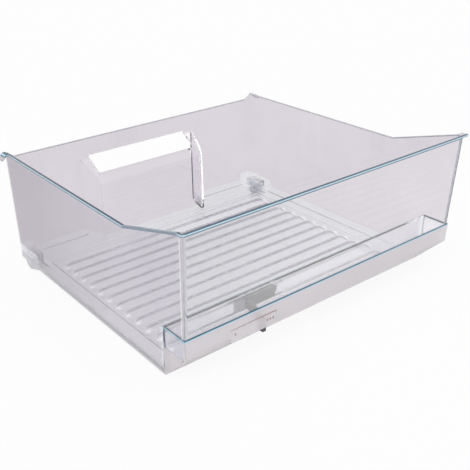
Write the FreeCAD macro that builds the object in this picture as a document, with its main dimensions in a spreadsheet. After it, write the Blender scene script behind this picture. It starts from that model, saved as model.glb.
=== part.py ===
"""Crisper drawer: a clear moulded tub with a humidity slider under its front ledge and rollers behind.

Every piece is drawn in drawer coordinates, in millimetres: X is across, Y runs back from the front
rim and Z runs up from the underside of the floor. Each piece's Placement then moves it to the
object frame, whose origin is the middle of the footprint, at the foot of the rollers.
"""
import FreeCAD
import Part
import math
import os
import re
import Sketcher

SIZES = [
    ("width", 455.0, "outer width at the top of the side walls"),
    ("depth", 419.0, "front rim to rear rim"),
    ("side_height", 165.0, "side wall, floor underside to rim"),
    ("front_height", 195.5, "front wall, floor underside to rim"),
    ("rear_dip", 8.0, "side rim down to the low part of the rear rim"),
    ("wall", 3.0, "thickness of the tub's walls"),
    ("floor_wall", 3.0, "thickness of the tub's floor"),
    ("side_draft", 0.020, "outward lean of the side walls, mm per mm"),
    ("front_draft", 0.031, "outward lean of the front wall, mm per mm"),
    ("rear_draft", 0.020, "outward lean of the rear wall, mm per mm"),
    ("front_corner_radius", 4.5, "upright front corners, outside"),
    ("rear_corner_radius", 4.5, "upright rear corners, outside"),
    ("bottom_radius", 3.0, "outside bottom edges"),
    ("inner_bottom_radius", 5.0, "inside bottom edges"),
    ("rise_start", 112.0, "where the side rim starts to rise towards the front"),
    ("rise_end", 9.0, "where the side rim reaches the height of the front rim"),
    ("rear_dip_half", 213.0, "half length of the low part of the rear rim"),
    ("rear_dip_run", 15.0, "length of the slope at each end of the low rear rim"),
    ("ledge_height", 67.5, "top of the ledge behind the front wall"),
    ("ledge_depth", 43.0, "front face of the cross wall under the ledge"),
    ("foot_depth", 46.5, "front edge of the floor"),
    ("cover_wall", 2.0, "thickness of the front cover"),
    ("cover_top", 69.0, "top edge of the front cover"),
    ("cover_chin", 42.5, "bottom edge of the cover's front face"),
    ("cover_return", 39.0, "height at which the cover's rear edge starts to slope"),
    ("lip_half", 160.5, "half length of the pull lip below the cover's front face"),
    ("lip_drop", 4.0, "how far the pull lip reaches below the cover's front face"),
    ("field_margin", 36.5, "side of the sunk floor field to the outside of the tub"),
    ("field_front", 62.0, "front edge of the sunk floor field"),
    ("field_setback", 61.0, "rear edge of the sunk floor field to the rear rim"),
    ("field_ramp", 7.0, "width of the ramp round the floor field"),
    ("field_step", 2.5, "how far the floor field is sunk"),
    ("rib_count", 12, "number of floor ribs"),
    ("rib_rear_margin", 21.0, "middle of the rearmost rib to the rear edge of the field"),
    ("rib_front_margin", 22.0, "middle of the foremost rib to the front edge of the field"),
    ("rib_inset", 1.5, "end of a rib to the side of the field"),
    ("rib_rise", 4.0, "height of a rib above the floor field"),
    ("rib_width", 19.0, "width of a rib at its foot"),
    ("grip_middle", -8.0, "middle of the rear grip, across"),
    ("grip_width", 192.0, "width of the grip's front face"),
    ("grip_depth", 46.0, "foot of the grip's front face to the rear rim"),
    ("grip_lean", 2.0, "lean of the grip's front face, degrees"),
    ("grip_flare", 13.0, "outward flare of each end wall of the grip"),
    ("grip_drop", 61.0, "side rim down to the grip's front shoulder"),
    ("grip_rise", 32.0, "rise of the grip's top from its shoulder to the rear wall"),
    ("grip_radius", 22.0, "rounding of the grip's shoulder"),
    ("slot_setback", 32.0, "front edge of the grip slot to the rear rim"),
    ("slot_margin", 7.0, "wall left at each end of the grip slot"),
    ("slot_drop", 35.0, "side rim down to the edge of the rear wall above the slot"),
    ("ear_reach", 9.5, "how far the rear hooks and the front tab stand out"),
    ("ear_drop", 8.0, "height of the rear hooks"),
    ("ear_length", 13.0, "length of the rear hooks, front to back"),
    ("ear_wall", 2.5, "thickness of the rear hooks and the front tab"),
    ("tab_length", 10.0, "length of the front tab, front to back"),
    ("roller_radius", 11.5, "rear rollers"),
    ("roller_width", 9.0, "rear rollers"),
    ("roller_drop", 8.0, "how far the rollers reach below the floor"),
    ("roller_inset", 31.5, "roller axle to the rear rim"),
    ("roller_gap", 0.8, "space round a roller"),
    ("tread_rounding", 1.0, "rounding of the edges of a roller's tread"),
    ("cheek_drop", 7.2, "how far the roller cheeks reach below the floor"),
    ("cheek_radius", 12.0, "rounded rear corner of a roller cheek"),
    ("cheek_run", 32.0, "length of the sloping front of a roller cheek"),
    ("pin_radius", 2.0, "roller pins"),
    ("pin_clearance", 0.05, "radial clearance of a roller on its pin"),
    ("seat_clearance", 0.02, "radial clearance of a pin in the cheeks"),
    ("shutter_left", -127.0, "left edge of the shutter as shown"),
    ("shutter_length", 61.0, "length of the shutter"),
    ("shutter_wall", 2.1, "thickness of the shutter"),
    ("shutter_foot", 46.0, "lower edge of the shutter"),
    ("slide_clearance", 0.3, "clearance of the shutter in its guide"),
    ("carriage_length", 45.5, "length of the carriage plate"),
    ("carriage_wall", 3.0, "thickness of the carriage plate"),
    ("carriage_foot", 48.6, "lower edge of the carriage plate"),
    ("carriage_top", 61.8, "upper edge of the carriage plate"),
    ("guide_wall", 2.0, "thickness of the guide lips"),
    ("guide_lip", 2.2, "overlap of the guide lips on the shutter"),
    ("travel_left", 49.0, "slider travel from the position shown towards least air"),
    ("travel_right", 11.0, "slider travel from the position shown towards most air"),
    ("fin_wall", 5.0, "thickness of the grip fin"),
    ("fin_front", 7.5, "front edge of the grip fin"),
    ("fin_depth", 9.0, "front to back size of the grip fin"),
    ("fin_foot", 31.0, "lowest edge of the grip fin"),
    ("vent_left", -115.0, "left edge of the row of vents"),
    ("vent_pitch", 12.2, "distance between the vents"),
    ("vent_count", 5, "number of vents"),
    ("vent_width", 8.0, "width of one vent"),
    ("vent_height", 11.0, "height of one vent"),
]

doc = FreeCAD.newDocument("crisper_drawer")
sheet = doc.addObject("Spreadsheet::Sheet", "Sizes")
for row, (alias, value, note) in enumerate(SIZES, start=1):
    sheet.set(f"A{row}", alias)
    sheet.set(f"B{row}", str(value))
    sheet.set(f"C{row}", note)
    sheet.setAlias(f"B{row}", alias)
doc.recompute()


ALIASES = [row[0] for row in SIZES]


def size(alias):
    """Current value of one named size."""
    return float(sheet.get(alias))


def named(expression):
    """Point each size that an expression names at its cell in the sheet."""
    return re.sub(r"[a-z_]+", lambda word: "Sizes." + word[0] if word[0] in ALIASES else word[0], expression)


def value_of(expression):
    """Present value of an expression on the named sizes."""
    return float(sheet.evalExpression(expression))


def bind(thing, **expressions):
    """Tie properties of a feature to expressions on the named sizes."""
    for name, expression in expressions.items():
        thing.setExpression(name, named(expression))


def place(thing, across="0", back="0", up="0"):
    """Tie the position of a feature or of a whole piece to the named sizes."""
    thing.setExpression("Placement.Base.x", named(across))
    thing.setExpression("Placement.Base.y", named(back))
    thing.setExpression("Placement.Base.z", named(up))


# Faces of the tub's outside at a given height
def side_at(height):
    return f"(width / 2 - side_draft * (side_height - ({height})))"


def front_at(height):
    return f"(front_draft * (front_height - ({height})))"


def rear_at(height):
    return f"(depth - rear_draft * (side_height - ({height})))"


# Places that follow from the sizes
REAR_LOW = "(side_height - rear_dip)"
FIELD_HALF = "(width / 2 - field_margin)"
FIELD_REAR = "(depth - field_setback)"
RIB_REAR = f"({FIELD_REAR} - rib_rear_margin)"
RIB_PITCH = f"(({RIB_REAR} - field_front - rib_front_margin) / (rib_count - 1))"
RIB_HALF = f"({FIELD_HALF} - rib_inset - rib_width / 2)"
RIB_BEND = "((rib_width * rib_width / 4 + rib_rise * rib_rise) / (2 * rib_rise))"
GRIP_FRONT = "(depth - grip_depth)"
GRIP_SHOULDER = "(side_height - grip_drop)"
SLOT_TOP = "(side_height - slot_drop)"
FIN_LEFT = "(shutter_left + shutter_length - carriage_length)"


def new_piece(name):
    """Empty body whose placement carries drawer coordinates into the object frame."""
    body = doc.addObject("PartDesign::Body", name)
    body.Label = name
    place(body, "0", "-depth / 2", "roller_drop")
    return body


def tapered_block(body, name, kind, low, high, side, front, rear):
    """Block from height low to high; side, front and rear give its faces at a height."""
    block = body.newObject(f"PartDesign::{kind}Wedge", name)
    block.Placement.Rotation = FreeCAD.Rotation(FreeCAD.Vector(1, 0, 0), 90)
    bind(block, Ymin=low, Ymax=high)
    bind(block, Xmin=f"-({side(low)})", Xmax=side(low), X2min=f"-({side(high)})", X2max=side(high))
    bind(block, Zmin=f"-({rear(low)})", Zmax=f"-({front(low)})")
    bind(block, Z2min=f"-({rear(high)})", Z2max=f"-({front(high)})")
    return block


def box(body, name, kind, across, back, up):
    """Box between pairs of expressions along each direction."""
    block = body.newObject(f"PartDesign::{kind}Box", name)
    bind(block, Length=f"({across[1]}) - ({across[0]})", Width=f"({back[1]}) - ({back[0]})")
    bind(block, Height=f"({up[1]}) - ({up[0]})")
    place(block, across[0], back[0], up[0])
    return block


def bar(body, name, kind, radius, across, back, up):
    """Cylinder along X between a pair of expressions."""
    rod = body.newObject(f"PartDesign::{kind}Cylinder", name)
    rod.Placement.Rotation = FreeCAD.Rotation(FreeCAD.Vector(0, 1, 0), 90)
    bind(rod, Radius=radius, Height=f"({across[1]}) - ({across[0]})")
    place(rod, across[0], back, up)
    return rod


def outline(body, name, plane, points, offset="0"):
    """Closed polygon on one of the body's planes, each corner tied to the named sizes."""
    sketch = body.newObject("Sketcher::SketchObject", name)
    origin = [item for item in body.Origin.OriginFeatures if item.Role == plane][0]
    sketch.AttachmentSupport = [(origin, "")]
    sketch.MapMode = "FlatFace"
    sketch.setExpression("AttachmentOffset.Base.z", named(offset))
    corners = [FreeCAD.Vector(value_of(named(a)), value_of(named(b)), 0) for a, b in points]
    count = len(points)
    for index in range(count):
        sketch.addGeometry(Part.LineSegment(corners[index], corners[(index + 1) % count]), False)
    for index in range(count):
        sketch.addConstraint(Sketcher.Constraint("Coincident", index, 2, (index + 1) % count, 1))
    for index, (first, second) in enumerate(points):
        corner = corners[index]
        along = sketch.addConstraint(Sketcher.Constraint("DistanceX", -1, 1, index, 1, corner.x))
        sketch.setExpression(f"Constraints[{along}]", named(first))
        above = sketch.addConstraint(Sketcher.Constraint("DistanceY", -1, 1, index, 1, corner.y))
        sketch.setExpression(f"Constraints[{above}]", named(second))
    return sketch


def cut_across(body, name, points):
    """Cut a side-view outline, given as (back, up), right through from side to side."""
    cut = body.newObject("PartDesign::Pocket", name)
    cut.Profile = outline(body, name + "_outline", "YZ_Plane", points)
    cut.Type = "ThroughAll"
    cut.Midplane = True
    return cut


def add_across(body, name, points, left, right):
    """Add a side-view outline, given as (back, up), from left to right."""
    pad = body.newObject("PartDesign::Pad", name)
    middle = f"(({left}) + ({right})) / 2"
    pad.Profile = outline(body, name + "_outline", "YZ_Plane", points, middle)
    pad.Midplane = True
    bind(pad, Length=f"({right}) - ({left})")
    return pad


def repeat(body, name, feature, pitch, count, back):
    """Repeat a feature along X, or towards the front where back is True."""
    row = body.newObject("PartDesign::LinearPattern", name)
    row.Originals = [feature]
    role = "Y_Axis" if back else "X_Axis"
    axis = [item for item in body.Origin.OriginFeatures if item.Role == role][0]
    row.Direction = (axis, [""])
    row.Reversed = back
    bind(row, Length=f"{pitch} * ({count} - 1)", Occurrences=count)
    body.Tip = row
    return row


def round_edges(body, name, radius, wanted):
    """Round each edge of the body whose middle and direction pass a test."""
    doc.recompute()
    base = body.Tip
    chosen = []
    for number, edge in enumerate(base.Shape.Edges, start=1):
        if edge.Degenerated:
            continue
        first, last = edge.ParameterRange
        middle = edge.valueAt((first + last) / 2)
        if wanted(middle, edge.tangentAt((first + last) / 2)):
            chosen.append(f"Edge{number}")
    fillet = body.newObject("PartDesign::Fillet", name)
    fillet.Base = (base, chosen)
    bind(fillet, Radius=radius)
    body.Tip = fillet
    return fillet


def near(value, expression):
    """Whether a coordinate lies at an expression's present value."""
    return abs(value - value_of(named(expression))) < 0.6


def upright(middle, along, end_at, depth_in):
    """Whether an edge is a corner edge of the walls, depth_in inside the faces that end_at gives."""
    end = value_of(named(end_at(f"{middle.z}")))
    inward = depth_in if end < size("depth") / 2 else -depth_in
    side = value_of(named(side_at(f"{middle.z}"))) - depth_in
    return abs(along.z) > 0.9 and abs(middle.y - end - inward) < 0.3 and abs(abs(middle.x) - side) < 0.3


def make_shell(tub):
    """Tapered block with two cavities that leave the walls, the floor and the ledge behind the front."""
    tapered_block(tub, "tub_block", "Additive", "0", "front_height", side_at, front_at, rear_at)
    tapered_block(tub, "upper_cavity", "Subtractive", "ledge_height", "front_height + 1",
                  lambda height: side_at(height) + " - wall",
                  lambda height: front_at(height) + " + wall",
                  lambda height: rear_at(height) + " - wall")
    cavity_floor = "(floor_wall + field_step)"
    tapered_block(tub, "lower_cavity", "Subtractive", cavity_floor, "ledge_height",
                  lambda height: side_at(height) + " - wall",
                  lambda height: "foot_depth + wall" if height == cavity_floor else "ledge_depth + wall",
                  lambda height: rear_at(height) + " - wall")
    round_edges(tub, "inner_rear_corners", "rear_corner_radius - wall",
                lambda middle, along: upright(middle, along, rear_at, size("wall")))
    round_edges(tub, "inner_bottom_edges", "inner_bottom_radius",
                lambda middle, along: near(middle.z, cavity_floor) and abs(along.z) < 0.1)
    round_edges(tub, "rear_corners", "rear_corner_radius",
                lambda middle, along: upright(middle, along, rear_at, 0))
    round_edges(tub, "front_corners", "front_corner_radius",
                lambda middle, along: upright(middle, along, front_at, 0))
    round_edges(tub, "bottom_edges", "bottom_radius",
                lambda middle, along: abs(middle.z) < 0.1 and middle.y > size("foot_depth"))


def make_rims(tub):
    """Side rims that rise to the front, and the low rear rim with a slope at each end."""
    cut_across(tub, "side_rim", [
        ("depth + wall * 9", "side_height"),
        ("rise_start", "side_height"),
        ("rise_end", "front_height"),
        ("rise_end", "front_height + wall * 9"),
        ("depth + wall * 9", "front_height + wall * 9"),
    ])
    dip_top = "rear_dip_half + 2 * rear_dip_run"
    tapered_block(tub, "rear_rim", "Subtractive", REAR_LOW, "side_height + rear_dip",
                  lambda height: "rear_dip_half" if height == REAR_LOW else dip_top,
                  lambda height: "depth - rear_corner_radius",
                  lambda height: "depth + wall * 9")


def make_front_step(tub):
    """Clear the space under the ledge and the seat of the front cover round it."""
    ledge_foot = "ledge_height - wall"
    cut_across(tub, "front_step", [
        ("-wall * 9", "-wall * 9"),
        ("foot_depth", "-wall * 9"),
        ("foot_depth", "0"),
        ("ledge_depth", "cover_return"),
        ("ledge_depth", ledge_foot),
        (front_at(ledge_foot) + " + cover_wall", ledge_foot),
        (front_at("cover_top") + " + cover_wall", "cover_top"),
        ("-wall * 9", "cover_top"),
    ])
    for side, edge in (("left", "-1"), ("right", "1")):
        inner = f"{edge} * ({side_at(ledge_foot)} - cover_wall)"
        outer = f"{edge} * (width / 2 + wall)"
        across = (outer, inner) if side == "left" else (inner, outer)
        box(tub, side + "_cover_seat", "Subtractive", across, ("-wall", "ledge_depth"), ("0", "cover_top"))


def make_floor(tub):
    """Sunk floor field with a ramp round it, the same step below, and the domed ribs across it."""
    floor_top = "floor_wall"
    rim_top = "floor_wall + field_step"
    tapered_block(tub, "floor_field", "Subtractive", floor_top, rim_top,
                  lambda height: FIELD_HALF if height == floor_top else FIELD_HALF + " + field_ramp",
                  lambda height: "field_front" if height == floor_top else "field_front - field_ramp",
                  lambda height: FIELD_REAR if height == floor_top else FIELD_REAR + " + field_ramp")
    inner_side = side_at("0") + " - wall"
    ramp_top = f"({FIELD_HALF} + field_ramp)"
    full_depth = ("foot_depth + wall", rear_at("0") + " - wall")
    bands = {
        "left": ((f"-({inner_side})", "-" + ramp_top), full_depth),
        "right": ((ramp_top, inner_side), full_depth),
        "front": (("-" + ramp_top, ramp_top), ("foot_depth + wall", "field_front - field_ramp")),
        "rear": (("-" + ramp_top, ramp_top), (FIELD_REAR + " + field_ramp", rear_at("0") + " - wall")),
    }
    for side, (across, back) in bands.items():
        box(tub, side + "_under_band", "Subtractive", across, back, ("0", "field_step"))


def rib_capsule(tub, name, kind, radius):
    """Round-ended bar along X, turned about its own middle line, for the rearmost rib."""
    sketch = tub.newObject("Sketcher::SketchObject", name + "_outline")
    origin = [item for item in tub.Origin.OriginFeatures if item.Role == "XZ_Plane"][0]
    sketch.AttachmentSupport = [(origin, "")]
    sketch.MapMode = "FlatFace"
    sketch.setExpression("AttachmentOffset.Base.y", named(f"floor_wall + rib_rise - {RIB_BEND}"))
    sketch.setExpression("AttachmentOffset.Base.z", named("-" + RIB_REAR))
    half = value_of(named(RIB_HALF))
    bend = value_of(named(radius))
    vector = FreeCAD.Vector
    up = vector(0, 0, 1)
    quarter = math.pi / 2
    sketch.addGeometry(Part.LineSegment(vector(-half - bend, 0, 0), vector(half + bend, 0, 0)), False)
    sketch.addGeometry(Part.ArcOfCircle(Part.Circle(vector(half, 0, 0), up, bend), 0, quarter), False)
    sketch.addGeometry(Part.LineSegment(vector(half, bend, 0), vector(-half, bend, 0)), False)
    sketch.addGeometry(Part.ArcOfCircle(Part.Circle(vector(-half, 0, 0), up, bend), quarter, math.pi), False)
    for first, first_end, second, second_end in ((0, 2, 1, 1), (1, 2, 2, 1), (2, 2, 3, 1), (3, 2, 0, 1)):
        sketch.addConstraint(Sketcher.Constraint("Coincident", first, first_end, second, second_end))
    for arc, sign in ((1, ""), (3, "-")):
        middle = sketch.addConstraint(Sketcher.Constraint("DistanceX", -1, 1, arc, 3, half * (2 - arc)))
        sketch.setExpression(f"Constraints[{middle}]", named(sign + RIB_HALF))
        sketch.addConstraint(Sketcher.Constraint("PointOnObject", arc, 3, -1))
        bow = sketch.addConstraint(Sketcher.Constraint("Radius", arc, bend))
        sketch.setExpression(f"Constraints[{bow}]", named(radius))
    sketch.addConstraint(Sketcher.Constraint("PointOnObject", 1, 1, -1))
    sketch.addConstraint(Sketcher.Constraint("PointOnObject", 3, 2, -1))
    sketch.addConstraint(Sketcher.Constraint("Vertical", 1, 3, 1, 2))
    sketch.addConstraint(Sketcher.Constraint("Vertical", 3, 3, 3, 1))
    turned = tub.newObject(f"PartDesign::{kind}", name)
    turned.Profile = sketch
    turned.ReferenceAxis = (sketch, ["H_Axis"])
    turned.Angle = 360
    return turned


def make_ribs(tub):
    """Row of domed ribs, hollow below, over the sunk floor field."""
    ribs = rib_capsule(tub, "rib", "Revolution", RIB_BEND)
    repeat(tub, "rib_row", ribs, RIB_PITCH, "rib_count", True)
    reach = f"({FIELD_HALF} + rib_width / 2)"
    box(tub, "under_ribs", "Subtractive", ("-" + reach, reach),
        ("field_front - rib_width", FIELD_REAR + " + rib_width"), ("-2 * rib_width", "0"))
    hollows = rib_capsule(tub, "rib_hollow", "Groove", f"({RIB_BEND} - floor_wall)")
    repeat(tub, "rib_hollow_row", hollows, RIB_PITCH, "rib_count", True)


def make_grip(tub):
    """Bay in the rear wall, open behind and below, with the long grip slot in its top."""
    half = "grip_width / 2"
    reach = "(grip_depth + wall)"
    for name, kind, inset in (("grip_bay", "Additive", "0"), ("grip_hollow", "Subtractive", "wall")):
        bay = tub.newObject(f"PartDesign::{kind}Wedge", name)
        bay.Placement.Rotation = FreeCAD.Rotation(FreeCAD.Vector(-1, 0, 0), size("grip_lean"))
        bay.setExpression("Placement.Rotation.Angle", named("grip_lean"))
        end = reach if kind == "Subtractive" else f"({rear_at('0')} - wall * 0.7 - {GRIP_FRONT})"
        flare = f"grip_flare * {end} / {reach}"
        bind(bay, Ymin=inset, Ymax=end)
        bind(bay, Xmin=f"-{half} + {inset}", Xmax=f"{half} - {inset}")
        bind(bay, X2min=f"-{half} - {flare} + {inset}", X2max=f"{half} + {flare} - {inset}")
        foot = "-wall * 3" if kind == "Subtractive" else "field_step"
        bind(bay, Zmin=foot, Z2min=f"{foot} + {reach} * tan(grip_lean)")
        bind(bay, Zmax=f"{GRIP_SHOULDER} - {inset}")
        bind(bay, Z2max=f"{GRIP_SHOULDER} + grip_rise * {end} / {reach} - {inset}")
        place(bay, "grip_middle", GRIP_FRONT, "0")
        tub.Tip = bay
    lean = math.sin(math.radians(size("grip_lean")))
    for name, inset in (("inner", size("wall")), ("outer", 0)):
        shoulder = value_of(named(GRIP_SHOULDER)) - inset
        radius = "grip_radius - wall" if inset else "grip_radius"
        round_edges(tub, f"grip_{name}_shoulder", radius,
                    lambda middle, along: abs(along.x) > 0.99 and abs(middle.z - shoulder) < 1
                    and abs(middle.y - value_of(named(GRIP_FRONT)) - inset - shoulder * lean) < 1)
    box(tub, "grip_slot", "Subtractive",
        ("grip_middle - grip_width / 2 + slot_margin", "grip_middle + grip_width / 2 - slot_margin"),
        ("depth - slot_setback", "depth + wall"), (f"{SLOT_TOP} - wall * 12", SLOT_TOP))


def make_ears(tub):
    """Curved hook outside each rear corner, and a flat tab at the right end of the front rim."""
    root = "(width / 2 - wall / 2)"
    tip = "(width / 2 + ear_reach)"
    bend = f"({tip} - ear_reach * 0.25)"
    for side, sign in (("left", "-"), ("right", "")):
        hook = tub.newObject("PartDesign::Pad", side + "_hook")
        hook.Profile = outline(tub, side + "_hook_outline", "XZ_Plane", [
            (sign + root, "side_height"),
            (f"{sign}({tip} - ear_reach * 0.7)", "side_height"),
            (f"{sign}{bend}", "side_height - ear_drop * 0.45"),
            (f"{sign}{tip}", "side_height - ear_drop"),
            (f"{sign}({tip} - ear_wall)", "side_height - ear_drop"),
            (f"{sign}({bend} - ear_wall)", "side_height - ear_drop * 0.45 - ear_wall * 0.3"),
            (f"{sign}({tip} - ear_reach * 0.8)", "side_height - ear_wall"),
            (sign + root, "side_height - ear_wall"),
        ], "-depth")
        bind(hook, Length="ear_length")
        hook.Reversed = False
        tub.Tip = hook
    box(tub, "front_tab", "Additive", (root, tip), ("front_draft * 2 + 0.3", "tab_length"),
        ("front_height - ear_wall", "front_height"))


def make_roller_mounts(tub):
    """Housing over each rear roller, with two cheeks that reach below the floor and hold its pin."""
    middle = "(depth - roller_inset)"
    axle = "(roller_radius - roller_drop)"
    room = "(roller_radius + roller_gap)"
    outside = side_at("0")
    face = f"({outside} - wall - roller_gap)"
    inner = f"({face} - roller_width - roller_gap)"

    def ends(low, high):
        return (f"-({high})", f"-({low})") if sign else (low, high)

    for side, sign in (("left", "-"), ("right", "")):
        box(tub, side + "_roller_housing", "Additive", ends(f"{inner} - wall", f"{outside} - wall / 2"),
            (f"{middle} - {room} - wall", f"{middle} + {room} + wall"),
            ("field_step", f"{axle} + {room} + wall"))
        for cheek, low in (("outer", f"{outside} - wall"), ("inner", f"{inner} - wall")):
            low_end, high_end = ends(low, f"{low} + wall")
            tub.Tip = add_across(tub, f"{side}_{cheek}_cheek", [
                (f"{middle} - cheek_run", "field_step"),
                (f"{middle} - roller_gap * 5", "-cheek_drop"),
                (middle, "-cheek_drop"),
                (middle, "floor_wall + field_step"),
                (f"{middle} - cheek_run", "floor_wall + field_step"),
            ], low_end, high_end)
            bar(tub, f"{side}_{cheek}_cheek_round", "Additive", "cheek_radius", (low_end, high_end),
                middle, "cheek_radius - cheek_drop")
        box(tub, side + "_roller_room", "Subtractive", ends(inner, f"{face} + roller_gap"),
            (f"{middle} - {room}", f"{middle} + {room}"), ("-roller_drop * 3", f"{axle} + {room}"))
        bar(tub, side + "_pin_bore", "Subtractive", "pin_radius + seat_clearance",
            ends(f"{inner} - wall * 2", "width / 2 + wall"), middle, axle)


def make_vents(tub):
    """Row of vents through the cross wall, and the lips that guide the shutter in front of it."""
    middle_height = "(shutter_foot + ledge_height - wall) / 2"
    vent = box(tub, "vent", "Subtractive", ("vent_left", "vent_left + vent_width"),
               ("ledge_depth - wall", "foot_depth + wall * 2"),
               (f"{middle_height} - vent_height / 2", f"{middle_height} + vent_height / 2"))
    repeat(tub, "vent_row", vent, "vent_pitch", "vent_count", False)
    span = ("shutter_left - travel_left - guide_wall",
            "shutter_left + shutter_length + travel_right + guide_wall")
    lip_back = "ledge_depth - shutter_wall - 2 * slide_clearance"
    rail_top = "shutter_foot - slide_clearance"
    box(tub, "guide_rail", "Additive", span, (f"{lip_back} - guide_wall", "ledge_depth + wall / 2"),
        (f"{rail_top} - guide_wall", rail_top))
    box(tub, "lower_lip", "Additive", span, (f"{lip_back} - guide_wall", lip_back),
        (f"{rail_top} - guide_wall", "shutter_foot + guide_lip"))
    box(tub, "upper_lip", "Additive", span, (f"{lip_back} - guide_wall", lip_back),
        ("ledge_height - wall - guide_lip", "ledge_height - wall / 2"))


def make_tub():
    """The clear moulded drawer itself."""
    tub = new_piece("tub")
    make_shell(tub)
    make_rims(tub)
    make_front_step(tub)
    make_floor(tub)
    make_grip(tub)
    make_ears(tub)
    make_roller_mounts(tub)
    make_vents(tub)
    make_ribs(tub)
    return tub


def make_front_cover():
    """Frosted U-shaped cover round the space under the ledge, with a pull lip and a slot for the fin."""
    cover = new_piece("front_cover")
    tapered_block(cover, "cover_block", "Additive", "0", "cover_top", side_at, front_at,
                  lambda height: "foot_depth")
    tapered_block(cover, "cover_hollow", "Subtractive", "-cover_wall", "cover_top + cover_wall",
                  lambda height: side_at(height) + " - cover_wall",
                  lambda height: front_at(height) + " + cover_wall",
                  lambda height: "foot_depth + cover_wall")
    chin = front_at("cover_chin")
    panel_rise = "cover_wall * 1.42"
    half = f"({side_at('0')} - cover_wall / 2)"
    add_across(cover, "sloped_panel", [
        (chin, "cover_chin"),
        ("foot_depth", "0"),
        ("foot_depth", panel_rise),
        (f"{chin} + cover_wall / 2", f"cover_chin + {panel_rise}"),
    ], f"-{half}", half)
    cut_across(cover, "below_panel", [
        ("-wall * 9", "-wall * 9"),
        ("foot_depth + wall * 9", "-wall * 9"),
        ("foot_depth + wall * 9", "0"),
        ("foot_depth", "0"),
        (chin, "cover_chin"),
        ("-wall * 9", "cover_chin"),
    ])
    cut_across(cover, "cover_back", [
        ("foot_depth", "0"),
        ("ledge_depth", "cover_return"),
        ("ledge_depth", "cover_top + wall"),
        ("foot_depth + wall * 9", "cover_top + wall"),
        ("foot_depth + wall * 9", "0"),
    ])
    box(cover, "pull_lip", "Additive", ("-lip_half", "lip_half"), (chin, f"{chin} + cover_wall * 0.9"),
        ("cover_chin - lip_drop", "cover_chin + cover_wall / 4"))
    fin_right = f"({FIN_LEFT} + fin_wall)"
    room = "2 * slide_clearance"
    box(cover, "fin_slot", "Subtractive",
        (f"{FIN_LEFT} - travel_left - {room}", f"{fin_right} + travel_right + {room}"),
        (f"fin_front - {room}", f"fin_front + fin_depth + {room}"),
        ("fin_foot - wall * 3", "cover_chin + wall * 1.4"))
    return cover


def make_shutter():
    """Thin plate that slides in front of the vents."""
    shutter = new_piece("shutter_plate")
    box(shutter, "shutter", "Additive", ("shutter_left", "shutter_left + shutter_length"),
        ("ledge_depth - slide_clearance - shutter_wall", "ledge_depth - slide_clearance"),
        ("shutter_foot", "ledge_height - wall - slide_clearance"))
    return shutter


def make_carriage():
    """Dark plate on the shutter with the grip fin that reaches out below the front cover."""
    carriage = new_piece("slider_carriage")
    back = "ledge_depth - slide_clearance - shutter_wall"
    box(carriage, "plate", "Additive", (FIN_LEFT, f"{FIN_LEFT} + carriage_length"),
        (f"{back} - carriage_wall", back), ("carriage_foot", "carriage_top"))
    add_across(carriage, "fin", [
        (f"{back} - carriage_wall / 2", "carriage_top"),
        ("fin_front", "carriage_foot"),
        ("fin_front", "fin_foot"),
        ("fin_front + fin_depth", "fin_foot"),
        ("fin_front + fin_depth", "cover_chin"),
        (f"{back} - carriage_wall / 2", "carriage_foot"),
    ], FIN_LEFT, f"{FIN_LEFT} + fin_wall")
    return carriage


def make_roller(side, sign):
    """Roller with its bore, between the cheeks of one rear corner."""
    roller = new_piece(f"rear_roller_{side}")
    middle = "(depth - roller_inset)"
    axle = "(roller_radius - roller_drop)"
    far = f"({side_at('0')} - wall - roller_gap)"
    near_end = f"({far} - roller_width)"
    across = (near_end, far) if sign == "" else (f"-{far}", f"-{near_end}")
    bar(roller, "wheel", "Additive", "roller_radius", across, middle, axle)
    bar(roller, "bore", "Subtractive", "pin_radius + pin_clearance", across, middle, axle)
    rim = size("roller_radius")
    round_edges(roller, "tread_edges", "tread_rounding",
                lambda point, along: abs(abs(point.z - value_of(named(axle))) - rim) < 0.1
                or abs(abs(point.y - value_of(named(middle))) - rim) < 0.1)
    return roller


def make_pin(side, sign):
    """Steel pin through both cheeks of one rear corner."""
    pin = new_piece(f"roller_pin_{side}")
    outside = side_at("0")
    inner = f"({outside} - wall - roller_gap * 2 - roller_width - wall)"
    across = (inner, f"({outside} - seat_clearance)")
    if sign:
        across = (f"-{across[1]}", f"-{inner}")
    bar(pin, "shank", "Additive", "pin_radius", across,
        "(depth - roller_inset)", "(roller_radius - roller_drop)")
    return pin


def check_and_write(pieces):
    """Stop at any failed feature or shape, then write one file for each piece."""
    failed = [item.Name for item in doc.Objects if "Invalid" in item.State or "Error" in item.State]
    if failed:
        raise RuntimeError("failed features: " + ", ".join(failed))
    for piece in pieces:
        shape = piece.Shape
        if shape.isNull() or not shape.isValid() or len(shape.Solids) != 1:
            raise RuntimeError("bad shape: " + piece.Label)
    os.makedirs("parts", exist_ok=True)
    for piece in pieces:
        piece.Shape.exportStep(f"parts/{piece.Label}.step")
        box_of = piece.Shape.BoundBox
        print(piece.Label, round(piece.Shape.Volume / 1000, 2), "cm3", box_of)


pieces = [make_tub(), make_front_cover(), make_shutter(), make_carriage()]
for side, sign in (("left", "-"), ("right", "")):
    pieces.append(make_roller(side, sign))
    pieces.append(make_pin(side, sign))
doc.recompute()
check_and_write(pieces)
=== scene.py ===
import math

import bmesh
import bpy
from mathutils import Matrix, Vector


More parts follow.
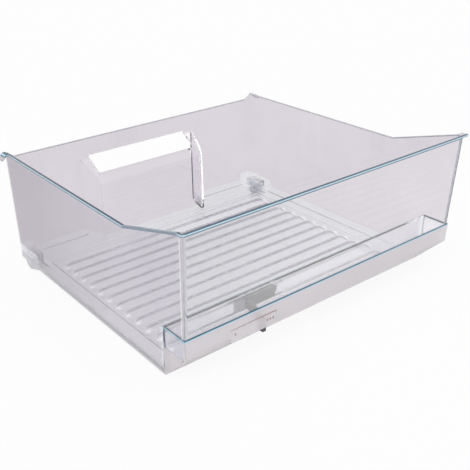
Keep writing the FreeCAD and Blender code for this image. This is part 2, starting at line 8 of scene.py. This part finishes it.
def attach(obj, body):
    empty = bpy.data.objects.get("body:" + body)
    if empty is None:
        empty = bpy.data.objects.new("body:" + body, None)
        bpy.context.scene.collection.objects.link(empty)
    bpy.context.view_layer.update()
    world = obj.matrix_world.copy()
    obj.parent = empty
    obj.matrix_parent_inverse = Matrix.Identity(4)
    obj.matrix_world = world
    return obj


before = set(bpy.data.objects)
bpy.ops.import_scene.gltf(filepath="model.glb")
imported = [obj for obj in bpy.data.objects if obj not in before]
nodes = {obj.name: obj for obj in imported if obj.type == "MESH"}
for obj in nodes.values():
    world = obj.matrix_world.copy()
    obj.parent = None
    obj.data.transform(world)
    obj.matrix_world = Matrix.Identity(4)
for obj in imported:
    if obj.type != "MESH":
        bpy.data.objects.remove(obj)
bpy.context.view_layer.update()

# Places and sizes of the part's features, in metres in the object frame
HALF_WIDTH = 0.2275
HALF_DEPTH = 0.2095
FOOT = 0.008
SIDE_RIM = 0.165 + FOOT
FRONT_RIM = 0.1955 + FOOT
RISE_START = 0.112 - HALF_DEPTH
RISE_END = 0.009 - HALF_DEPTH
REAR_RIM = 0.157 + FOOT
LEDGE_TOP = 0.0675 + FOOT
COVER_TOP = 0.069 + FOOT
LEDGE_BACK = 0.046 - HALF_DEPTH
SIDE_LEAN = 0.020
FRONT_LEAN = 0.031
CROSS_WALL_FRONT = 0.042 - HALF_DEPTH
CROSS_WALL_BACK = 0.0505 - HALF_DEPTH
RIB_MIDDLE = 0.337 - HALF_DEPTH
RIB_PITCH = 0.023
RIB_COUNT = 12
RIB_END = 0.1895
ROLLER_Y = 0.178
FLOOR_LENGTH = 0.341
HOUSING_SIDE = 0.2025
HOUSING_FRONT = 0.357 - HALF_DEPTH
HOUSING_TOP = 0.024 + FOOT

# Grip bay: its front leans back with height, its ends spread towards the rear, its shoulder is round
GRIP_MIDDLE = -0.008
BAY_FRONT = 0.373 - HALF_DEPTH
BAY_FRONT_HIGH = 0.37663 - HALF_DEPTH
BAY_HIGH = 0.104 + FOOT
BAY_HALF = 0.096
BAY_HALF_REAR = 0.1082
BEND_Y = 0.3982 - HALF_DEPTH
BEND_Z = 0.0918 + FOOT
BEND_RADIUS = 0.0206

# How far the masks reach in from an outer face
ON_FACE = 0.0010
IN_RIM = 0.0034
IN_WALL = 0.0036
IN_CORNER = 0.0056


# Camera, at the photograph's viewing angle

IMAGE = 470
FOCAL_PIXELS = 734.55
CENTRE_PIXEL = (190.54, 234.37)
CAMERA_AT = Vector((-0.59836, -0.72443, 0.51911))
YAW, PITCH, ROLL = 0.637, 0.460, -0.024


def make_camera():
    ahead = Vector(
        (
            math.sin(YAW) * math.cos(PITCH),
            math.cos(YAW) * math.cos(PITCH),
            -math.sin(PITCH),
        )
    )
    level = Vector((math.cos(YAW), -math.sin(YAW), 0))
    above = level.cross(ahead)
    right = math.cos(ROLL) * level + math.sin(ROLL) * above
    up = -math.sin(ROLL) * level + math.cos(ROLL) * above
    data = bpy.data.cameras.new("camera")
    data.sensor_width = 36
    data.lens = FOCAL_PIXELS / IMAGE * data.sensor_width
    data.shift_x = (IMAGE / 2 - CENTRE_PIXEL[0]) / IMAGE
    data.shift_y = (CENTRE_PIXEL[1] - IMAGE / 2) / IMAGE
    data.clip_start = 0.01
    camera = bpy.data.objects.new("camera", data)
    turn = Matrix((right, up, -ahead)).transposed().to_4x4()
    camera.matrix_world = Matrix.Translation(CAMERA_AT) @ turn
    bpy.context.scene.collection.objects.link(camera)
    bpy.context.scene.camera = camera


# Shader building


class Shader:
    """One node material, with the part's own coordinates as its inputs."""

    def __init__(self, name):
        self.material = bpy.data.materials.new(name)
        self.material.use_nodes = True
        self.tree = self.material.node_tree
        self.tree.nodes.clear()
        self.place = self.tree.nodes.new("ShaderNodeTexCoord").outputs["Object"]
        split = self.tree.nodes.new("ShaderNodeSeparateXYZ")
        self.link(self.place, split.inputs[0])
        self.x, self.y, self.z = split.outputs
        lean = self.maths("MULTIPLY_ADD", self.z, SIDE_LEAN, HALF_WIDTH - SIDE_LEAN * SIDE_RIM)
        self.side = self.maths("SUBTRACT", lean, self.maths("ABSOLUTE", self.x))
        lean = self.maths("MULTIPLY_ADD", self.z, SIDE_LEAN, HALF_DEPTH - SIDE_LEAN * SIDE_RIM)
        self.rear = self.maths("SUBTRACT", lean, self.y)
        lean = self.maths("MULTIPLY_ADD", self.z, FRONT_LEAN, HALF_DEPTH - FRONT_LEAN * FRONT_RIM)
        self.front = self.maths("ADD", self.y, lean)

    def link(self, value, socket):
        if isinstance(value, bpy.types.NodeSocket):
            self.tree.links.new(value, socket)
        else:
            socket.default_value = value

    def maths(self, kind, *values):
        node = self.tree.nodes.new("ShaderNodeMath")
        node.operation = kind
        for socket, value in zip(node.inputs, values):
            self.link(value, socket)
        return node.outputs[0]

    def span(self, value, low, high, out_low=0.0, out_high=1.0, smooth=True):
        """Value carried from the range low to high over to the other range, and held at its ends."""
        node = self.tree.nodes.new("ShaderNodeMapRange")
        node.interpolation_type = "SMOOTHSTEP" if smooth else "LINEAR"
        for socket, item in zip(node.inputs, (value, low, high, out_low, out_high)):
            self.link(item, socket)
        return node.outputs["Result"]

    # Masks are 1 inside and 0 outside

    def above(self, value, edge, soft=0.0002):
        return self.span(value, edge - soft, edge + soft)

    def below(self, value, edge, soft=0.0002):
        return self.span(value, edge - soft, edge + soft, 1.0, 0.0)

    def between(self, value, low, high, soft=0.0002):
        return self.all(self.above(value, low, soft), self.below(value, high, soft))

    def all(self, first, *others):
        for other in others:
            first = self.maths("MULTIPLY", first, other)
        return first

    def any(self, first, *others):
        for other in others:
            first = self.maths("MAXIMUM", first, other)
        return first

    def without(self, mask):
        return self.below(mask, 0.5, 0.01)

    def noise(self, scale, detail=2.0, stretch=(1, 1, 1)):
        mapping = self.tree.nodes.new("ShaderNodeMapping")
        self.link(self.place, mapping.inputs["Vector"])
        mapping.inputs["Scale"].default_value = stretch
        node = self.tree.nodes.new("ShaderNodeTexNoise")
        self.link(mapping.outputs[0], node.inputs["Vector"])
        node.inputs["Scale"].default_value = scale
        node.inputs["Detail"].default_value = detail
        return node.outputs["Fac"]

    def mix(self, factor, first, second):
        node = self.tree.nodes.new("ShaderNodeMix")
        node.data_type = "RGBA"
        for index, value in ((0, factor), (6, first), (7, second)):
            self.link(value, node.inputs[index])
        return node.outputs[2]

    def blend(self, factor, first, second):
        node = self.tree.nodes.new("ShaderNodeMix")
        for index, value in ((0, factor), (2, first), (3, second)):
            self.link(value, node.inputs[index])
        return node.outputs[0]

    def paint(self, colour, *layers):
        """Each layer's colour laid over the ones before it, where its mask is."""
        for mask, tint in layers:
            colour = self.mix(mask, colour, tint)
        return colour

    def weigh(self, value, *layers):
        """The same for plain numbers."""
        for mask, share in layers:
            value = self.blend(mask, value, share)
        return value

    def relief(self, height, strength, distance):
        node = self.tree.nodes.new("ShaderNodeBump")
        node.inputs["Strength"].default_value = strength
        node.inputs["Distance"].default_value = distance
        self.link(height, node.inputs["Height"])
        return node.outputs[0]

    def finish(self, colour, roughness, normal, fixed, transmission=None, gleam=None):
        """Close the material, with fixed values set on the sockets that fixed names."""
        surface = self.tree.nodes.new("ShaderNodeBsdfPrincipled")
        self.link(colour, surface.inputs["Base Color"])
        self.link(roughness, surface.inputs["Roughness"])
        self.link(normal, surface.inputs["Normal"])
        for name, value in fixed.items():
            surface.inputs[name].default_value = value
        if transmission is not None:
            self.link(transmission, surface.inputs["Transmission Weight"])
        if gleam is not None:
            self.link(gleam, surface.inputs["Emission Strength"])
        output = self.tree.nodes.new("ShaderNodeOutputMaterial")
        self.link(surface.outputs[0], output.inputs["Surface"])
        return self.material


CLEAR = {"IOR": 1.2, "Coat Weight": 0.6, "Coat Roughness": 0.03, "Coat IOR": 1.5}

WHITE = (1.0, 1.0, 1.0, 1)
# Painted light: NAVY, CORE, SECOND_LINE and RISE_LINE draw the dark and light-blue lines that bent light
# shows along the clear rims
NAVY = (0.02, 0.065, 0.12, 1)
CORE = (0.62, 0.86, 1.0, 1)
SECOND_LINE = (0.12, 0.22, 0.29, 1)
RISE_LINE = (0.22, 0.29, 0.37, 1)
# Painted shade: grey lines along the rims' inner faces and the far rims
GREY_RIM_SHADE = (0.60, 0.59, 0.63, 1)
# Painted light at the upright front corners: a white highlight on the left, a dark shade line with a pale
# highlight on the right
LEFT_GLOW = (0.62, 0.61, 0.65, 1)
RIGHT_LINE = (0.10, 0.12, 0.15, 1)
RIGHT_GLOW = (0.80, 0.82, 0.92, 1)
WALL_TINTS = (0.73, 0.69, 0.74, 1), (0.70, 0.66, 0.71, 1)
FLOOR_TINTS = (0.76, 0.76, 0.79, 1), (0.74, 0.74, 0.775, 1)
# Painted shade: the left wall darkens from its front towards the rear
LEFT_WALL_SHADES = (0.77, 0.745, 0.785, 1), (0.58, 0.55, 0.59, 1)
# Painted light: the front wall lightens from its left corner to white towards the middle
FRONT_WALL_LIGHTS = (0.87, 0.87, 0.88, 1), WHITE
# Painted shade: grey line at the foot of each rib
RIB_FOOT_SHADE = (0.60, 0.59, 0.64, 1)
# Painted light: roller housings and the cross wall lighter than the rest of the same clear plastic
HOUSING_LIGHT = (0.92, 0.92, 0.95, 1)
# Painted shade: grey line along the left bottom edge
BOTTOM_EDGE_SHADE = (0.61, 0.60, 0.64, 1)
# Painted light: the grip bay's right end lighter than the rest of the same clear plastic
BAY_LIGHT = (0.92, 0.90, 0.93, 1)
LEDGE_TINT = (0.985, 0.985, 1.0, 1)
# Painted light: bluish line along the ledge's rear edge
LEDGE_EDGE_LIGHT = (0.48, 0.57, 0.68, 1)
COVER_TINTS = (0.93, 0.90, 0.925, 1), (0.91, 0.88, 0.90, 1)
COVER_END_TINT = (0.87, 0.86, 0.89, 1)
# Painted light and shade along the cover's edges: a blue top line over a light-blue core, and a bluish dark
# line at the rear of its ends
COVER_TOP_LIGHT = (0.05, 0.25, 0.42, 1)
COVER_REAR_SHADE = (0.20, 0.36, 0.50, 1)


def rims(s):
    """Where the rims are, and their painted light: blue lines on the outside and grey ones inside stand in
    for light bent along the clear edges.
    """
    high = s.span(s.y, RISE_END, RISE_START, FRONT_RIM, SIDE_RIM, smooth=False)
    low_rear = s.all(s.below(s.maths("ABSOLUTE", s.x), HALF_WIDTH - 0.0145), s.below(s.rear, 0.0042))
    depth = s.maths("SUBTRACT", s.blend(low_rear, high, REAR_RIM), s.z)
    top = s.below(depth, 0.0003, 0.0001)
    left_top = s.all(s.below(s.x, 0), s.below(s.side, IN_RIM))
    near_top = s.all(top, s.any(left_top, s.below(s.front, IN_RIM)))
    outside = s.any(s.below(s.side, ON_FACE), s.below(s.front, ON_FACE), s.below(s.rear, ON_FACE))
    blue = s.any(s.all(outside, s.without(top)), near_top)
    edges = s.mix(s.above(depth, 0.0012), NAVY, SECOND_LINE)
    rise = s.all(s.below(s.x, 0), s.between(s.y, RISE_END, RISE_START, 0.002))
    lines = s.paint(edges, (s.between(depth, 0.0004, 0.0019), CORE), (rise, RISE_LINE))
    far_right = s.all(s.above(s.x, 0), s.below(s.side, ON_FACE))
    near = s.all(blue, s.without(s.any(far_right, s.below(s.rear, ON_FACE))))
    band = s.any(
        s.below(depth, 0.0010),
        s.all(blue, s.below(depth, 0.0020)),
        s.all(near, s.below(depth, 0.0033)),
    )
    return band, s.mix(blue, GREY_RIM_SHADE, lines)


def corner_lines(s):
    """Upright front corners, painted light: a white highlight line on the left, a dark shade line with a pale
    painted highlight on the right.
    """
    near = s.all(s.below(s.side, IN_CORNER), s.below(s.front, IN_CORNER), s.above(s.z, LEDGE_TOP))
    left = s.all(near, s.below(s.x, 0), s.below(s.side, 0.0040))
    white = s.all(s.above(s.front, IN_WALL), s.below(s.side, ON_FACE))
    right = s.all(near, s.above(s.x, 0), s.below(s.side, 0.0038))
    glow = s.above(s.side, 0.0022)
    return left, s.mix(white, LEFT_GLOW, WHITE), right, s.mix(glow, RIGHT_LINE, RIGHT_GLOW)


def rib_marks(s, low):
    """Painted shade as a grey line at the foot of each rib, and a painted white highlight on the bead at each
    of its ends.
    """
    across = s.maths("ABSOLUTE", s.x)
    start = RIB_MIDDLE - RIB_PITCH / 2
    step = s.maths("FLOORED_MODULO", s.maths("SUBTRACT", s.y, start), RIB_PITCH)
    field = s.between(s.y, start - (RIB_COUNT - 1) * RIB_PITCH, start + RIB_PITCH)
    foot = s.all(low, field, s.below(across, RIB_END - 0.004, 0.003), s.between(step, 0.0193, 0.0219, 0.0007))
    ends = s.between(across, RIB_END - 0.0035, RIB_END + 0.0030, 0.0020)
    # Painted highlight: white, with a faint glow, on each rib's rounded end
    bead = s.all(low, field, ends, s.between(step, 0.0070, 0.0140, 0.0022))
    return foot, bead


def bay_marks(s):
    """The grip bay's right end: all of it, its outer face, and the painted highlight along its front edge."""
    half = s.span(s.y, BAY_FRONT, HALF_DEPTH, BAY_HALF, BAY_HALF_REAR, smooth=False)
    from_end = s.maths("SUBTRACT", half, s.maths("ABSOLUTE", s.maths("SUBTRACT", s.x, GRIP_MIDDLE)))
    inside = s.all(
        s.above(s.x, 0),
        s.above(s.y, BAY_FRONT - 0.002),
        s.above(s.rear, IN_RIM),
        s.between(s.z, FOOT + 0.020, FOOT + 0.14),
        s.between(from_end, -0.002, 0.022),
    )
    end = s.all(inside, s.below(from_end, 0.0004))
    from_front = s.maths("SUBTRACT", s.y, s.span(s.z, FOOT, BAY_HIGH, BAY_FRONT, BAY_FRONT_HIGH))
    face = s.all(s.below(from_front, 0.0013), s.below(s.z, BEND_Z + 0.001))
    across = s.maths("SUBTRACT", s.y, BEND_Y)
    up = s.maths("SUBTRACT", s.z, BEND_Z)
    radius = s.maths("SQRT", s.maths("ADD", s.all(across, across), s.all(up, up)))
    shoulder = s.all(s.above(radius, BEND_RADIUS), s.above(s.z, BEND_Z), s.below(s.y, BEND_Y))
    # Painted highlight: white line, with a glow, along the bay end's front edge and shoulder
    glint = s.all(inside, s.below(from_end, 0.0030), s.any(face, shoulder))
    return inside, end, glint


def make_clear():
    """Clear plastic of the tub: tinted walls, painted light and shade on its edges, corners, ribs and some
    walls, small painted glows, and a slightly hazy ledge behind the front wall.
    """
    s = Shader("clear_plastic")
    cloud = s.span(s.noise(9.0, 3.0), 0.3, 0.7)
    low = s.below(s.z, FOOT + 0.0125)
    left_wall = s.all(s.below(s.x, 0), s.below(s.side, IN_WALL), s.above(s.front, IN_WALL))
    front_wall = s.all(s.below(s.front, IN_WALL), s.above(s.z, LEDGE_TOP - 0.001))
    foot, bead = rib_marks(s, low)
    housing = s.all(
        s.above(s.maths("ABSOLUTE", s.x), HOUSING_SIDE),
        s.above(s.y, HOUSING_FRONT),
        s.below(s.z, HOUSING_TOP),
    )
    cross_wall = s.all(s.between(s.y, CROSS_WALL_FRONT, CROSS_WALL_BACK), s.below(s.z, LEDGE_TOP - 0.002))
    bottom_edge = s.all(s.below(s.x, 0), s.below(s.side, 0.0013), s.below(s.z, FOOT + 0.0105, 0.002))
    in_bay, bay_end, glint = bay_marks(s)
    ledge = s.all(
        s.between(s.z, LEDGE_TOP - 0.0034, LEDGE_TOP + 0.0003),
        s.below(s.y, LEDGE_BACK + 0.0002),
    )
    ledge_edge = s.all(ledge, s.above(s.y, LEDGE_BACK - 0.0009))
    left_corner, left_colour, right_corner, right_colour = corner_lines(s)
    band, band_colour = rims(s)

    # Painted shade and light are laid over the tinted plastic: left and front walls, rib feet, rib-end
    # highlights, housings, bottom edge, grip bay, bay highlight, ledge edge, corners and rims
    colour = s.paint(
        s.mix(cloud, *WALL_TINTS),
        (low, s.mix(cloud, *FLOOR_TINTS)),
        (left_wall, s.mix(s.span(s.y, -0.10, 0.20), *LEFT_WALL_SHADES)),
        (front_wall, s.mix(s.span(s.x, -0.22, -0.02), *FRONT_WALL_LIGHTS)),
        (foot, RIB_FOOT_SHADE),
        (bead, WHITE),
        (s.any(housing, cross_wall), HOUSING_LIGHT),
        (bottom_edge, BOTTOM_EDGE_SHADE),
        (in_bay, BAY_LIGHT),
        (glint, WHITE),
        (ledge, LEDGE_TINT),
        (ledge_edge, LEDGE_EDGE_LIGHT),
        (left_corner, left_colour),
        (right_corner, right_colour),
        (band, band_colour),
    )
    passing = s.weigh(
        1.0,
        (ledge, 0.88),
        (housing, 0.85),
        (bay_end, 0.92),
        (left_corner, 0.72),
        (s.any(glint, bottom_edge), 0.25),
        (s.any(band, ledge_edge, right_corner), 0.1),
    )
    # Painted glow, though none of these is a lamp: white emission on the bay's highlight line, the left front
    # corner, the rib-end highlights and the ledge
    gleams = (glint, 0.5), (left_corner, 0.06), (bead, 0.05), (ledge, 0.03)
    gleam = s.any(*(s.maths("MULTIPLY", mask, strength) for mask, strength in gleams))
    fine = s.noise(1600.0, 2.0)
    rough = s.blend(ledge, s.span(fine, 0.0, 1.0, 0.02, 0.05), s.span(fine, 0.0, 1.0, 0.03, 0.06))
    normal = s.relief(fine, 0.03, 0.0002)
    return s.finish(colour, rough, normal, {**CLEAR, "Emission Color": WHITE}, passing, gleam)


def make_frosted():
    """Cover under the ledge: satin front and underside, clear end walls, painted light lines along its top
    edge and the rear of its ends.
    """
    s = Shader("frosted_plastic")
    cloud = s.span(s.noise(11.0, 3.0), 0.3, 0.7)
    end = s.all(s.below(s.side, 0.0026), s.above(s.front, 0.0022), s.above(s.z, 0.0405 + FOOT))
    lip = s.above(s.z, COVER_TOP - 0.0022)
    line = s.above(s.z, COVER_TOP - 0.0009)
    edge = s.all(end, s.above(s.y, LEDGE_BACK - 0.0038))
    colour = s.paint(
        s.mix(cloud, *COVER_TINTS),
        (end, COVER_END_TINT),
        # Painted light lines on the cover's top edge and the rear of its ends
        (lip, s.mix(line, CORE, COVER_TOP_LIGHT)),
        (edge, COVER_REAR_SHADE),
    )
    fine = s.noise(1900.0, 2.0)
    rough = s.blend(end, s.span(fine, 0.0, 1.0, 0.38, 0.5), s.span(fine, 0.0, 1.0, 0.02, 0.05))
    normal = s.relief(fine, 0.15, 0.0002)
    passing = s.weigh(0.5, (end, 1.0), (s.any(lip, edge), 0.1))
    return s.finish(colour, rough, normal, {"IOR": 1.25}, passing)


def make_solid(name, first, second, roughness, grain, fixed=None, bump=0.2):
    """Opaque or translucent moulded plastic with a fine grain."""
    s = Shader(name)
    colour = s.mix(s.span(s.noise(60.0, 3.0), 0.3, 0.7), first, second)
    fine = s.noise(grain, 2.0)
    rough = s.span(fine, 0.0, 1.0, roughness * 0.85, roughness * 1.15)
    return s.finish(colour, rough, s.relief(fine, bump, 0.0002), fixed or {})


def make_steel():
    """Drawn steel with fine lines along X."""
    s = Shader("pin_steel")
    lines = s.noise(700.0, 3.0, (0.04, 1, 1))
    colour = s.mix(lines, (0.58, 0.58, 0.60, 1), (0.68, 0.68, 0.69, 1))
    rough = s.span(lines, 0.0, 1.0, 0.22, 0.38)
    return s.finish(colour, rough, s.relief(lines, 0.1, 0.0001), {"Metallic": 1.0})


clear = make_clear()
frosted = make_frosted()
shutter = make_solid("shutter_plastic", (0.52, 0.52, 0.56, 1), (0.48, 0.48, 0.53, 1), 0.5, 1800.0)
ink = make_solid("print_ink", (0.40, 0.24, 0.24, 1), (0.35, 0.21, 0.21, 1), 0.6, 2400.0)
dark = make_solid("dark_plastic", (0.055, 0.055, 0.065, 1), (0.045, 0.045, 0.055, 1), 0.42, 1800.0)
roller = make_solid(
    "roller_plastic",
    (0.92, 0.94, 0.97, 1),
    (0.88, 0.90, 0.94, 1),
    0.3,
    900.0,
    {"Transmission Weight": 0.8, "IOR": 1.15},
    0.1,
)
steel = make_steel()

dress = {
    "tub": clear,
    "front_cover": frosted,
    "shutter_plate": shutter,
    "slider_carriage": dark,
    "rear_roller_left": roller,
    "rear_roller_right": roller,
    "roller_pin_left": steel,
    "roller_pin_right": steel,
}
for name, material in dress.items():
    for slot in nodes[name].material_slots:
        slot.material = material


# Printed air scale on the cover

INK_THICKNESS = 0.00006


def on_cover(x, height, proud):
    """Point on the leaning front of the cover, a little in front of it."""
    return (x, -HALF_DEPTH + FRONT_LEAN * (FRONT_RIM - FOOT - height) - proud, height + FOOT)


def make_print(name, outlines):
    """Thin layer of ink over each outline, given as corners (across, height)."""
    mesh = bmesh.new()
    for outline in outlines:
        inner = [mesh.verts.new(on_cover(x, height, 0.0)) for x, height in outline]
        outer = [mesh.verts.new(on_cover(x, height, INK_THICKNESS)) for x, height in outline]
        mesh.faces.new(outer)
        mesh.faces.new(inner[::-1])
        count = len(outline)
        for index in range(count):
            after = (index + 1) % count
            mesh.faces.new((inner[index], inner[after], outer[after], outer[index]))
    bmesh.ops.recalc_face_normals(mesh, faces=mesh.faces)
    data = bpy.data.meshes.new(name)
    mesh.to_mesh(data)
    mesh.free()
    data.materials.append(ink)
    piece = bpy.data.objects.new(name, data)
    bpy.context.scene.collection.objects.link(piece)
    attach(piece, "drawer")


def bar_outline(left, right, low, high):
    return [(left, low), (right, low), (right, high), (left, high)]


def drop_outline(x, height, size):
    """Plain drop: a circle whose top runs up to a point."""
    turns = [math.radians(degrees) for degrees in range(140, 401, 20)]
    circle = [(x + size * math.cos(turn), height + size * math.sin(turn)) for turn in turns]
    return circle + [(x, height + 2.2 * size)]


def make_scale():
    """Wedge that widens towards most air, a row of ticks that grow with it, and plain drops."""
    left, right, height = -0.162, -0.094, 0.0555
    wedge = [(left, height), (right, height - 0.0003), (right, height + 0.0013), (left, height + 0.0005)]
    make_print("air_scale_wedge", [wedge])
    ticks = []
    count = 8
    for index in range(count):
        x = left + (right - left) * index / (count - 1)
        rise = 0.0010 + 0.0014 * index / (count - 1)
        ticks.append(bar_outline(x - 0.0003, x + 0.0003, height - 0.0008 - rise, height - 0.0008))
    make_print("air_scale_ticks", ticks)
    drops = [drop_outline(x, 0.0478, 0.0012) for x in (-0.1550, -0.1075, -0.1030, -0.0985)]
    make_print("air_scale_drops", drops)


# Stage


def seen_by_eye(tree):
    """1 for the rays that show a surface, straight, mirrored or through clear plastic, and 0 for light."""
    path = tree.nodes.new("ShaderNodeLightPath")
    total = path.outputs["Is Camera Ray"]
    for kind in ("Is Glossy Ray", "Is Transmission Ray"):
        node = tree.nodes.new("ShaderNodeMath")
        node.operation = "ADD"
        node.use_clamp = True
        tree.links.new(total, node.inputs[0])
        tree.links.new(path.outputs[kind], node.inputs[1])
        total = node.outputs[0]
    return total


def shown(tree, light, share, output_kind, matt):
    """Mix what gives light with a plain white that only the eye sees."""
    glow = tree.nodes.new("ShaderNodeEmission" if matt else "ShaderNodeBackground")
    glow.inputs["Strength"].default_value = 1.0
    glow.inputs["Color"].default_value = (1, 1, 1, 1)
    part = tree.nodes.new("ShaderNodeMath")
    part.operation = "MULTIPLY"
    tree.links.new(seen_by_eye(tree), part.inputs[0])
    part.inputs[1].default_value = share
    both = tree.nodes.new("ShaderNodeMixShader")
    tree.links.new(part.outputs[0], both.inputs[0])
    tree.links.new(light.outputs[0], both.inputs[1])
    tree.links.new(glow.outputs[0], both.inputs[2])
    output = tree.nodes.new(output_kind)
    tree.links.new(both.outputs[0], output.inputs["Surface"])


def make_floor():
    """Pale floor, tilted to touch the rear rollers and the front edge of the drawer's own floor."""
    drop = math.atan2(FOOT, FLOOR_LENGTH)
    half = 6.0
    corners = [(-half, -half, 0), (half, -half, 0), (half, half, 0), (-half, half, 0)]
    mesh = bpy.data.meshes.new("floor")
    mesh.from_pydata(corners, [], [(0, 1, 2, 3)])
    floor = bpy.data.objects.new("floor", mesh)
    floor.matrix_world = Matrix.Translation((0, ROLLER_Y, -0.0001)) @ Matrix.Rotation(-drop, 4, "X")
    bpy.context.scene.collection.objects.link(floor)
    material = bpy.data.materials.new("pale_floor")
    material.use_nodes = True
    tree = material.node_tree
    tree.nodes.clear()
    matt = tree.nodes.new("ShaderNodeBsdfDiffuse")
    matt.inputs["Color"].default_value = (0.9, 0.9, 0.9, 1)
    shown(tree, matt, 0.9, "ShaderNodeOutputMaterial", True)
    mesh.materials.append(material)


def make_world():
    world = bpy.data.worlds.new("studio")
    world.use_nodes = True
    tree = world.node_tree
    tree.nodes.clear()
    light = tree.nodes.new("ShaderNodeBackground")
    light.inputs["Color"].default_value = (1, 1, 1, 1)
    light.inputs["Strength"].default_value = 0.6
    shown(tree, light, 1.0, "ShaderNodeOutputWorld", False)
    bpy.context.scene.world = world


def make_sun(name, towards, strength, spread):
    data = bpy.data.lights.new(name, "SUN")
    data.energy = strength
    data.angle = math.radians(spread)
    lamp = bpy.data.objects.new(name, data)
    lamp.rotation_euler = Vector(towards).to_track_quat("-Z", "Y").to_euler()
    bpy.context.scene.collection.objects.link(lamp)


make_scale()
make_camera()
make_floor()
make_world()
make_sun("key", (0.45, 0.35, -1.0), 1.0, 50)
make_sun("fill", (-0.6, 0.5, -0.8), 0.4, 80)

bpy.context.scene.view_settings.view_transform = "Standard"
